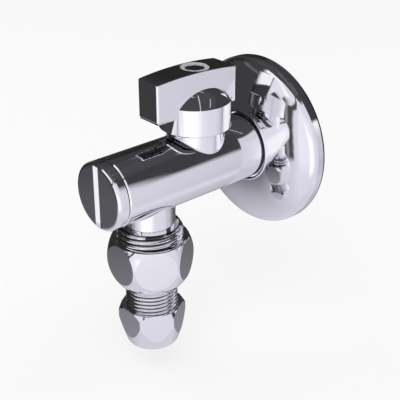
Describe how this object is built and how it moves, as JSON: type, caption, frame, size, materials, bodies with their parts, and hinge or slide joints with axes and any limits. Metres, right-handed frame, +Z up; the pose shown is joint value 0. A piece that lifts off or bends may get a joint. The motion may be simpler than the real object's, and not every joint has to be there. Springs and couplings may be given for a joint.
{
  "type": "angle valve",
  "caption": "Chrome-plated angle stop valve with a quarter-turn lever, a strainer behind a slotted plug, a wall rosette and a compression outlet for a tube.",
  "frame": {"origin": "on the inlet axis, at the wall plane", "axes": "+Y along the inlet axis into the wall, +Z up along the stem, the outlet points down"},
  "size_m": [0.0566, 0.082, 0.0895],
  "materials": {
    "chrome_plate": "polished chrome plate",
    "brass": "turned brass",
    "white_seat": "white low-friction plastic",
    "black_rubber": "black sealing rubber",
    "gasket_fibre": "red-brown fibre washer",
    "steel": "stainless steel",
    "grey_plastic": "moulded plastic"
  },
  "bodies": {
    "valve_body": {"valve_body": "chrome_plate", "inner_seat": "white_seat", "outer_seat": "white_seat", "seat_retainer": "brass", "stem_washer": "white_seat", "strainer_frame": "grey_plastic", "strainer_screen": "steel", "outlet_gasket": "gasket_fibre", "outlet_adapter": "chrome_plate"},
    "lever": {"handle": "chrome_plate", "handle_screw": "steel", "handle_cover": "chrome_plate", "stem": "brass", "lower_stem_ring": "black_rubber", "upper_stem_ring": "black_rubber", "ball": "chrome_plate"},
    "rosette": {"escutcheon": "chrome_plate"},
    "plug_seal": {"cap_ring": "black_rubber"},
    "plug": {"filter_cap": "chrome_plate"},
    "olive": {"olive": "brass"},
    "nut": {"compression_nut": "chrome_plate"}
  },
  "joints": [
    {"name": "lever_turn", "type": "hinge", "parent": "valve_body", "child": "lever", "pos_m": [0, -0.0301, 0], "axis": [0, 0, 1], "range_deg": [-90, 0]},
    {"name": "rosette_slide", "type": "slide", "parent": "valve_body", "child": "rosette", "axis": [0, -1, 0], "range_m": [0, 0.008]},
    {"name": "plug_travel", "type": "slide", "parent": "valve_body", "child": "plug_seal", "axis": [0, -1, 0], "range_m": [0, 0.005]},
    {"name": "plug_turn", "type": "hinge", "parent": "plug_seal", "child": "plug", "pos_m": [0, -0.066, 0], "axis": [0, -1, 0], "range_deg": [0, 1800]},
    {"name": "nut_travel", "type": "slide", "parent": "valve_body", "child": "olive", "axis": [0, 0, -1], "range_m": [-0.00267, 0.00334]},
    {"name": "nut_turn", "type": "hinge", "parent": "olive", "child": "nut", "pos_m": [0, -0.04895, -0.05], "axis": [0, 0, -1], "range_deg": [-720, 900]}
  ],
  "couplings": [
    {"joint": "plug_travel", "follows": "plug_turn", "m_per_rad": 0.00015915},
    {"joint": "nut_travel", "follows": "nut_turn", "m_per_rad": 0.00021279}
  ]
}
